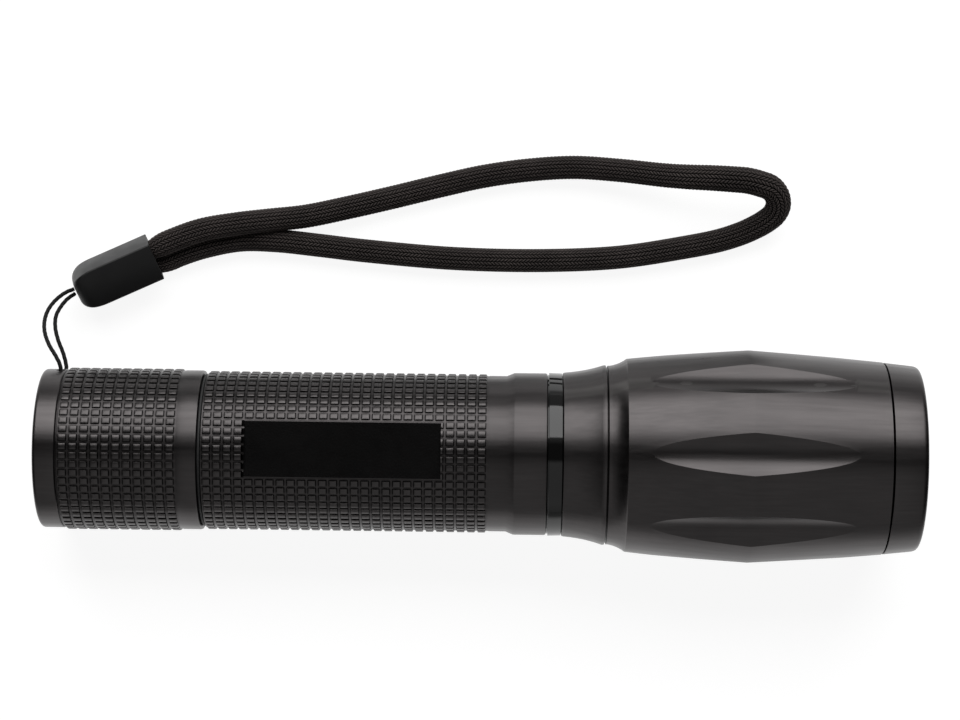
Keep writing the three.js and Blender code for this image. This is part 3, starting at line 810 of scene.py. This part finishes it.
def hole_tool(elevation, middle):
    """A round bar across the cap's wall, for one lanyard hole."""
    sides, reach = 28, 2.0
    out = np.array([0, math.cos(elevation), math.sin(elevation)])
    along = np.array([1.0, 0, 0])
    across = np.cross(out, along)
    centre = np.array([LANYARD_STATION, 0, 0]) + out * middle
    angles = 2 * np.pi * np.arange(sides) / sides
    ring = LANYARD_HOLE * (np.cos(angles)[:, None] * along + np.sin(angles)[:, None] * across)
    ends = np.array([centre + ring - out * reach, centre + ring + out * reach])
    return outward(grid_object("hole_tool", placed(ends)))


# ---- Fluted head ----------------------------------------------------------------------------


def head_outline():
    """The head's outside, from its rear lip to its front edge, as fine outline points."""
    lip, step, step_end = (HEAD_START + 0.5, 13.62), (93.0, 14.88), (94.1, 14.83)
    groove = [(93.3, 14.9), (93.42, 14.86), (93.5, 14.55), (93.66, 14.55), (93.74, 14.83)]
    shoulder, waist, front = (SHOULDER, 16.0), (WAIST, HEAD_RADIUS), (HEAD_END - 0.15, 15.93)
    flare_bend, rise_bend = (90.2, 13.9), (95.6, 15.1)
    cone_bend, taper_bend = (106.5, 17.05), (128, 16.95)
    cone, taper = sweep(shoulder, cone_bend, waist, 56), sweep(waist, taper_bend, front, 60)
    points = [
        (HEAD_START, 13.4),
        (HEAD_START + 0.12, 13.55),
        lip,
        *sweep(lip, flare_bend, step, 14),
        *groove,
        step_end,
        *sweep(step_end, rise_bend, (SHOULDER - 0.06, 15.93), 12),
        shoulder,
        *(p for p in cone if p[0] < WAIST - 0.2),
        (WAIST, HEAD_RADIUS - 0.008),
        *(p for p in taper if p[0] > WAIST + 0.2),
        (HEAD_END, 15.76),
    ]
    return np.array([tuple(p) for p in points])


def flute_half_angle(radius):
    """Half the angle that a flute takes where the head has that radius; 0 where it has none."""
    if radius <= FLUTE_FLOOR:
        return 0.0
    cosine = (radius**2 + FLUTE_AXIS**2 - FLUTE_CUTTER**2) / (2 * radius * FLUTE_AXIS)
    return math.acos(min(1.0, cosine))


def flute_radius(angle):
    """Distance from the axis to a flute's surface, at that angle from its middle."""
    across = FLUTE_AXIS * np.sin(angle)
    return FLUTE_AXIS * np.cos(angle) - np.sqrt(FLUTE_CUTTER**2 - across**2)


FLUTE_SAMPLES = 18  # across a flute
LAND_SAMPLES = 14  # across the plain surface between two flutes
THINNEST_FLUTE = math.radians(0.3)


def head_ring(station, radius, in_flutes):
    """One ring of the head, whose points sit exactly on the flutes' edges."""
    half = flute_half_angle(radius) if in_flutes else 0.0
    width = max(half, THINNEST_FLUTE)
    sector = 2 * np.pi / FLUTE_COUNT
    across = np.linspace(-width, width, FLUTE_SAMPLES + 1)
    depth = flute_radius(across) if half > THINNEST_FLUTE else np.full_like(across, radius)
    land = np.linspace(width, sector - width, LAND_SAMPLES + 1)[1:-1]
    angles = np.concatenate([across, land])
    radii = np.concatenate([np.minimum(depth, radius), np.full_like(land, radius)])
    rings = [round_axis(station, radii, angles + i * sector) for i in range(FLUTE_COUNT)]
    return np.concatenate(rings)


def head_shell():
    """The head: a flared rear, a cone with eight milled flutes and a tapered front."""
    rings = [head_ring(u, r, SHOULDER < u < HEAD_END - 1) for u, r in head_outline()]
    inner = [
        (HEAD_END, LENS_BORE + 0.12),
        (HEAD_END - 0.12, LENS_BORE),
        (LENS_SEAT, LENS_BORE),
        (LENS_SEAT, HEAD_BORE),
        (BUSH_END + 0.5, HEAD_BORE),
        (BUSH_END + 0.5, GUIDE_BORE),
        (HEAD_START + 0.15, GUIDE_BORE),
        (HEAD_START, GUIDE_BORE + 0.15),
    ]
    rings += [head_ring(u, r, False) for u, r in inner]
    shell = outward(grid_object("head_fluted_shell", placed(np.array(rings)), looped=True))
    smooth(shell)
    crease_flutes(shell)
    return dress(shell, "black_anodised", "head", "head_shell")


def crease_flutes(shell):
    """Keeps every flute's edge crisp along its whole length."""
    step = FLUTE_SAMPLES + LAND_SAMPLES
    sides = FLUTE_COUNT * step
    outline = head_outline()
    crisp = set()
    for ring, (station, radius) in enumerate(outline[:-1]):
        fluted = SHOULDER < station < HEAD_END - 1
        if not (fluted and flute_half_angle(radius) > THINNEST_FLUTE):
            continue
        for i in range(FLUTE_COUNT):
            for column in (i * step, i * step + FLUTE_SAMPLES):
                start = ring * sides + column
                crisp.add((start, start + sides))
    for edge in shell.data.edges:
        if tuple(sorted(edge.vertices)) in crisp:
            edge.use_edge_sharp = True


# ---- Other turned pieces --------------------------------------------------------------------


def o_ring(name, station, radius, thickness, body, node):
    angles = np.linspace(0, 2 * np.pi, 21)[:-1]
    outline = [(station + thickness * math.sin(a), radius + thickness * math.cos(a)) for a in angles]
    return dress(turned(name, outline), "rubber", body, node)


SEAM = 0.13  # width of the dark line between two outside pieces that all but touch
SEAM_FLOOR = 13.2  # radius of the bush's shoulders, which close the seams from inside


def guide_bush():
    """The gloss ring between collar and head, on its sleeve."""
    inner = SLIDE_RADIUS + 0.25
    sleeve = GUIDE_BORE - 0.25
    start, end = COLLAR_END + 2 * SEAM, HEAD_START - SEAM
    outline = [
        (90.0, inner),
        (COLLAR_END + 0.06, inner),
        (COLLAR_END + 0.06, SEAM_FLOOR),
        (start, SEAM_FLOOR),
        (start, 13.54),
        (end, 13.47),
        (end, SEAM_FLOOR - 0.2),
        (end + 0.06, SEAM_FLOOR - 0.2),
        (end + 0.06, sleeve),
        (BUSH_END, sleeve),
        (BUSH_END, inner),
        (90.0, inner),
    ]
    ring = rounded(outline, 0.06)[:-1]
    return dress(turned("guide_bush_ring", ring, 128), "gloss_plastic", "focus_bush", "guide_bush")


def bezel():
    ring_start, skirt_start, skirt_radius = HEAD_END + 1.5 * SEAM, LENS_SEAT + 3.3, LENS_BORE - GAP
    edge, face = (LENGTH - 0.9, 15.36), (LENGTH, 14.6)
    outline = [
        (138.0, BEZEL_BORE),
        (skirt_start + 4.2, BEZEL_BORE),
        (skirt_start, skirt_radius - 1),
        (skirt_start, skirt_radius),
        (ring_start, skirt_radius),
        (ring_start, 15.86),
        (LENGTH - 1.8, 15.47),
        edge,
        *sweep(edge, (LENGTH, 15.25), face, 6),
        (LENGTH, BEZEL_BORE + 0.4),
        (LENGTH - 0.4, BEZEL_BORE),
        (138.0, BEZEL_BORE),
    ]
    ring = rounded(outline, 0.12)[:-1]
    return dress(turned("bezel_ring", ring, 160), "black_anodised", "head", "bezel")


def lens():
    rim_start, rim_end, rim_radius = LENS_SEAT + GAP, LENS_SEAT + GAP + 1.5, LENS_BORE - GAP
    dome_radius, dome_height = 12.9, 9.7
    angles = np.linspace(0, np.pi / 2, 25)
    dome = [(rim_end + dome_height * math.sin(a), dome_radius * math.cos(a)) for a in angles[:-1]]
    rim = [(rim_start, 0), (rim_start, rim_radius - 0.15), (rim_start + 0.15, rim_radius)]
    rim += [(rim_end - 0.15, rim_radius), (rim_end, rim_radius - 0.15)]
    outline = rim + dome + [(rim_end + dome_height, 0)]
    return dress(turned("lens_dome", outline), "lens_clear", "head", "lens")


def button_boot():
    """A domed rubber cover with fine raised rings on top."""
    top, dome_radius, dome_edge = 0.75, 7.1, 1.5
    flange_start, flange_end, flange_radius, hollow_radius = 1.75, 2.9, 9.0, 5.8
    curve = [(top, 0)] + sweep((top, 0), (top, dome_radius), (dome_edge, dome_radius), 60)
    ripple, ripple_pitch = 0.07, 0.9
    dome = [(top, 0)]
    for station, radius in curve[1:]:
        inside = 1.0 if radius < 4.6 else 0.0
        wave = (1 - math.cos(2 * math.pi * radius / ripple_pitch)) / 2
        dome.append((station + inside * ripple * wave, radius))
    outline = dome + [
        (flange_start, dome_radius),
        (flange_start, flange_radius),
        (flange_end, flange_radius),
        (flange_end, hollow_radius),
        (1.9, hollow_radius),
        (1.6, 0),
    ]
    return dress(turned("button_boot_dome", outline), "rubber", "button", "button_boot")


def pill():
    """The lamp's carrier, whose flat nose shows round the lamp board through the lens."""
    nose, body, hollow, groove = HEAD_BORE - GAP, TUBE_BORE - GAP, 8.5, 12.5
    start, hollow_end, front = 85.7, 100, 119.0
    groove_start, groove_end = 111, 113
    outline = [
        (hollow_end, 0),
        (hollow_end, hollow),
        (start, hollow),
        (start, body),
        (TUBE_END + GAP, body),
        (TUBE_END + GAP, nose),
        (groove_start, nose),
        (groove_start, groove),
        (groove_end, groove),
        (groove_end, nose),
        (front - 0.7, nose),
        (front, nose - 0.7),
        (front, 0),
    ]
    return dress(turned("pill_body", rounded(outline, 0.15)), "bare_aluminium", "root", "pill")


SPRING_STEPS = 40  # rings to a turn of a coil
SPRING_SIDES = 12


def spring_coil(name, start, end, start_radius, end_radius, turns, wire, node, body):
    """A coil of round wire."""
    t = np.linspace(0, 1, turns * SPRING_STEPS)
    radius = start_radius + (end_radius - start_radius) * t
    station = start + wire + (end - start - 2 * wire) * t
    line = placed(round_axis(station, radius, 2 * np.pi * turns * t)) / MM
    coil = grid_object(name, rings_about(line, wire, SPRING_SIDES))
    return dress(smooth(outward(coil), 50), "nickel", body, node)


def switch_spring():
    """The button's return spring. The real one shortens as the button goes in; this coil keeps one
    length.
    """
    start, end, radius, turns, wire = 8.5, 11.2, 3.2, 3, 0.25
    node, body = "switch_spring", "tail_cap"
    coil = spring_coil("switch_spring_coil", start, end, radius, radius, turns, wire, node, body)
    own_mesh(coil)


# ---- Wrist strap ----------------------------------------------------------------------------

BRAID_COLUMNS = 18  # columns of stitches round the cord
BRAID_STITCH = 0.62  # length of a stitch along the cord
BRAID_DEPTH = 0.34
BRAID_SIDES = BRAID_COLUMNS * 8
BRAID_RINGS = 2340


def braid_height(along, around):
    """Height of the braid's surface, from 0 between stitches to 1 on top of one.

    The stitches stand in columns along the cord. They lean one way in one column and the other
    way in the next, half a stitch further on, so that each pair of columns reads as a chevron.
    """
    column = around * BRAID_COLUMNS / (2 * np.pi)
    number = np.floor(column)
    across = 2 * (column - number) - 1
    odd = number % 2
    lean = np.where(odd == 0, 0.6, -0.6)
    step = along / BRAID_STITCH + lean * across + 0.5 * odd
    lengthwise = 2 * (step % 1) - 1
    crown = np.sqrt(np.clip(1 - np.abs(across) ** 3.4, 0, 1))
    swell = np.clip(1 - np.abs(lengthwise) ** 1.8, 0, 1) ** 0.7
    return crown * swell


def tone(thing, values):
    """Stores a value from 0 to 1 on each point, which the material reads as painted shade."""
    layer = thing.data.attributes.new("tone", "FLOAT", "POINT")
    layer.data.foreach_set("value", np.asarray(values, np.float32).ravel())


TUCK = 2.6  # how far the cord's two ends reach into the clip's pocket
TUCK_PINCH = 0.45  # share of their distance from its middle line that the ends keep in there
CLIP_MIDDLE = 4.4  # height of the clip's middle line


def tucked(route):
    """The cord's route with both its ends led on into the clip."""
    heading = math.radians(CLIP_HEADING)
    along = np.array([math.cos(heading), math.sin(heading), 0])
    inside = np.array([*CLIP_TIP, CLIP_MIDDLE]) + along * (CLIP_LENGTH - TUCK)
    ends = []
    for point in (np.array(route[0]), np.array(route[-1])):
        beside = point - inside
        beside -= (beside @ along) * along
        ends.append(tuple(inside + TUCK_PINCH * beside))
    return [ends[0], *route, ends[1]]


def fullness(along):
    """The cord's width: squeezed at its ends by the clip, fuller just before the crease."""
    squeeze_reach, squeezed_share = 5.5, 0.62
    crease, swelling, swelling_reach = 0.47 * along[-1], 0.12, 13.0
    near = np.clip(np.minimum(along, along[-1] - along) / squeeze_reach, 0, 1)
    squeezed = squeezed_share + (1 - squeezed_share) * near**2 * (3 - 2 * near)
    return squeezed * (1 + swelling * np.exp(-(((along - crease) / swelling_reach) ** 2)))


def strap_cord():
    """The braided wrist cord, with every stitch in its surface."""
    line, along = evenly(catmull_rom(tucked(CORD_ROUTE), 24), BRAID_RINGS)
    angles = 2 * np.pi * np.arange(BRAID_SIDES) / BRAID_SIDES
    height = braid_height(along[:, None], angles[None, :])
    radius = CORD_DIAMETER / 2 + 0.03 - BRAID_DEPTH * (1 - height)
    radius *= fullness(along)[:, None]
    points = rings_about(line, radius, BRAID_SIDES)
    cord = smooth(outward(grid_object("strap_cord_braid", points)), 60)
    # The stitch height goes on as tone, for painted shade in the gaps between stitches.
    tone(cord, height)
    dress(cord, "braid", "tail_cap", "strap_cord")


LOOP_SIDES = 18
LOOP_RINGS = 420
LOOP_PLIES = 3
LOOP_LAY = 1.1  # millimetres in which a ply turns a third of the way round


def strap_thread():
    """The thin twisted loop that ties the strap to the cap."""
    line, along = evenly(catmull_rom(THREAD_ROUTE, 24), LOOP_RINGS)
    angles = 2 * np.pi * np.arange(LOOP_SIDES) / LOOP_SIDES
    twist = np.cos(LOOP_PLIES * angles[None, :] - 2 * np.pi * along[:, None] / LOOP_LAY)
    radius = LOOP_DIAMETER / 2 * (0.96 + 0.04 * twist)
    points = rings_about(line, radius, LOOP_SIDES)
    loop = smooth(outward(grid_object("strap_thread", points)), 60)
    # Painted shade: the plies' twist darkens the thread's colour where the plies meet.
    tone(loop, 0.8 + 0.2 * twist)
    dress(loop, "thread", "tail_cap", "strap_thread_loop")


def rounded_rectangle(low, high, corner, steps=5):
    """Points of a rectangle with round corners, anticlockwise from its right side."""
    centres = [(high[0], high[1]), (low[0], high[1]), (low[0], low[1]), (high[0], low[1])]
    signs = [(-1, -1), (1, -1), (1, 1), (-1, 1)]
    points = []
    for quarter, (centre, sign) in enumerate(zip(centres, signs)):
        for turn in np.linspace(0, math.pi / 2, steps + 1):
            angle = turn + quarter * math.pi / 2
            y = centre[0] + corner * (sign[0] + math.cos(angle))
            z = centre[1] + corner * (sign[1] + math.sin(angle))
            points.append((y, z))
    return points


def clip_section(along, inset_left, inset_right, inset_deep, corner):
    """One ring of the clip. The insets draw in its left side, its right side and its faces."""
    half_width, half_height = CLIP_WIDTH / 2, CLIP_THICKNESS / 2
    low = (-half_width + inset_right, -half_height + inset_deep)
    high = (half_width - inset_left, half_height - inset_deep)
    rim = rounded_rectangle(low, high, corner)
    crown = 0.22  # the two main faces bulge a little
    ring = []
    for y, z in rim:
        bulge = crown * (1 - (y / half_width) ** 2) * z / half_height
        ring.append((along, y, z + bulge - crown * z / half_height))
    return ring


def eased(along, reach, depth):
    """How far an edge is drawn in by its rounding, that far from the clip's closed end."""
    share = np.clip((reach - along) / reach, 0, 1)
    return depth * (1 - math.sqrt(1 - share**2))


def strap_clip():
    """The cord lock: a flat-sided plastic shell with a blunt nose, open where the cords go in."""
    rings = []
    nose = [CLIP_NOSE * (1 - math.cos(t * math.pi / 2)) for t in np.linspace(0, 1, 15)]
    for along in [*nose[:-1], *np.linspace(CLIP_NOSE, CLIP_LENGTH - 0.08, 8)]:
        left, right = eased(along, 3.9, 1.9), eased(along, 4.2, 1.7)
        deep = eased(along, 2.2, 1.6)
        rings.append(clip_section(along, left, right, deep, 0.28 + 0.4 * deep))
    rings.append(clip_section(CLIP_LENGTH, 0.07, 0.07, 0.07, 0.25))
    wall, pocket = 0.75, 4.0
    rings.append(clip_section(CLIP_LENGTH, wall - 0.07, wall - 0.07, wall - 0.07, 0.5))
    for along in (CLIP_LENGTH - 0.08, CLIP_LENGTH - pocket):
        rings.append(clip_section(along, wall, wall, wall, 0.5))
    points = np.array(rings)
    roll, heading = math.radians(CLIP_ROLL), math.radians(CLIP_HEADING)
    turn = np.array(Matrix.Rotation(heading, 3, "Z") @ Matrix.Rotation(roll, 3, "X"))
    points = points @ turn.T
    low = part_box("strap_clip")[0][2] / MM
    lift = np.array([CLIP_TIP[0], CLIP_TIP[1], low - points[..., 2].min()])
    clip = grid_object("strap_clip_body", (points + lift) * MM)
    return dress(smooth(outward(clip), 24), "clip_plastic", "tail_cap", "strap_clip")


# ---- Stage ----------------------------------------------------------------------------------

FLOOR_SIZE = 4.0
FLOOR_MIDDLE = (0, 0.0157, 0)  # metres: where the floor glows most
FLOOR_NEAR, FLOOR_FAR = 0.105, 0.18  # metres from its middle over which the floor turns grey
FLOOR_GLOW = 0.9  # the floor is a light table: it glows as well as catching the softbox's light
SOFTBOX_RADIANCE = 3.0
SOFTBOX_MIDDLE = 46  # degrees from overhead, towards the strap
SOFTBOX_SPREAD = 48
SOFTBOX_DISTANCE = 1.2
SOFTBOX_LENGTH = 1.5

# The studio round the object: (degrees from overhead towards the strap, radiance).
STUDIO = [
    (-95, 0.25),
    (-75, 0.42),
    (-14, 0.42),
    (-9, 0.02),
    (13, 0.02),
    (18, 0.2),
    (95, 0.25),
]

# How the studio darkens towards the torch's two ends: (share of the direction, light kept).
STUDIO_ENDS = [(0.35, 1.0), (0.6, 0.08)]


def make_floor():
    """A glowing floor, white round the object and greyer further off."""
    half = FLOOR_SIZE / 2
    corners = [(-half, -half, 0), (half, -half, 0), (half, half, 0), (-half, half, 0)]
    floor = mesh_object("floor", corners, [(0, 1, 2, 3)])
    constants = {"Emission_Strength": 1.0, "Roughness": 0.9, "Specular_IOR_Level": 0.1}
    material, nodes, shader = new_material("floor_white", **constants)
    place = nodes.add("ShaderNodeTexCoord").outputs["Object"]
    middle = nodes.add("ShaderNodeVectorMath", operation="DISTANCE")
    middle.inputs[1].default_value = FLOOR_MIDDLE
    nodes.join(place, middle.inputs[0])
    far = middle.outputs["Value"]
    body = nodes.ramp(far, [(FLOOR_NEAR, 0.24), (FLOOR_FAR, 0.3)])
    glow = nodes.ramp(far, [(FLOOR_NEAR, FLOOR_GLOW), (FLOOR_FAR, 0.1)])
    nodes.join(body, shader.inputs["Base Color"])
    nodes.join(glow, shader.inputs["Emission Color"])
    floor.data.materials.append(material)


def make_softbox():
    """A long light beside the object, parallel to the torch."""
    data = bpy.data.lights.new("softbox", "AREA")
    data.shape = "RECTANGLE"
    width = 2 * SOFTBOX_DISTANCE * math.tan(math.radians(SOFTBOX_SPREAD) / 2)
    data.size = SOFTBOX_LENGTH
    data.size_y = width
    data.energy = SOFTBOX_RADIANCE * math.pi * SOFTBOX_LENGTH * width
    light = bpy.data.objects.new("softbox", data)
    bpy.context.scene.collection.objects.link(light)
    tip = math.radians(SOFTBOX_MIDDLE)
    light.location = (0, SOFTBOX_DISTANCE * math.sin(tip), SOFTBOX_DISTANCE * math.cos(tip))
    light.rotation_euler = (-tip, 0, 0)


def make_world():
    """A studio whose light changes with the direction round the torch, and is dark past its ends."""
    world = bpy.data.worlds.new("studio")
    world.use_nodes = True
    nodes = Nodes(world.node_tree)
    direction = nodes.add("ShaderNodeSeparateXYZ")
    nodes.join(nodes.add("ShaderNodeTexCoord").outputs["Generated"], direction.inputs[0])
    angle = nodes.math("ARCTAN2", direction.outputs[1], direction.outputs[2])
    share = nodes.math("ADD", nodes.math("MULTIPLY", angle, 0.5 / math.pi), 0.5)
    ramp = nodes.ramp(share, [(degrees / 360 + 0.5, light) for degrees, light in STUDIO])
    sideways = nodes.math("ABSOLUTE", direction.outputs[0])
    ends = nodes.ramp(sideways, STUDIO_ENDS)
    background = world.node_tree.nodes["Background"]
    nodes.join(nodes.multiply(ramp, ends), background.inputs["Color"])
    background.inputs["Strength"].default_value = 1.0
    bpy.context.scene.world = world


def make_stage():
    make_floor()
    make_softbox()
    make_world()
    settings = bpy.context.scene.view_settings
    settings.view_transform = "Standard"
    settings.look = "None"
    settings.exposure = 0
    settings.gamma = 1


# ---- Build ----------------------------------------------------------------------------------


def dress_cad_nodes():
    """Materials and smooth shading for the CAD nodes that stay as they are."""
    slots = {
        "battery_carrier": "dark_plastic",
        "cell_1": "cell_jacket",
        "cell_2": "cell_jacket",
        "cell_3": "cell_jacket",
        "carrier_negative_contact": "nickel",
        "carrier_positive_contact": "nickel",
        "driver_board": "circuit_board",
        "led_board": "lamp_board",
        "led_emitter": "lamp_phosphor",
        "pill_oring": "rubber",
        "lens_oring": "rubber",
        "switch_housing": "dark_plastic",
        "switch_board": "circuit_board",
        "switch_retaining_ring": "brass",
        "switch_plunger": "white_plastic",
    }
    for node, slot in slots.items():
        smooth(dress(frame["nodes"][node], slot))


strap_clip()
strap_cord()
strap_thread()
tail_cap()
button_boot()
battery_tube()
o_ring("cap_seal_ring", (CAP_LENGTH + GRIP_START) / 2, 12.35, 0.28, "root", "cap_seal_oring")
guide_bush()
head_shell()
bezel()
lens()
pill()
switch_spring()
spring_coil("tail_spring_coil", 14.8, 26.5, 4.6, 2.6, 5, 0.4, "tail_spring", "cap_carriage")
spring_coil("driver_spring_coil", 77.5, 83.4, 2.2, 3.4, 3, 0.35, "driver_spring", "root")
dress_cad_nodes()
make_stage()
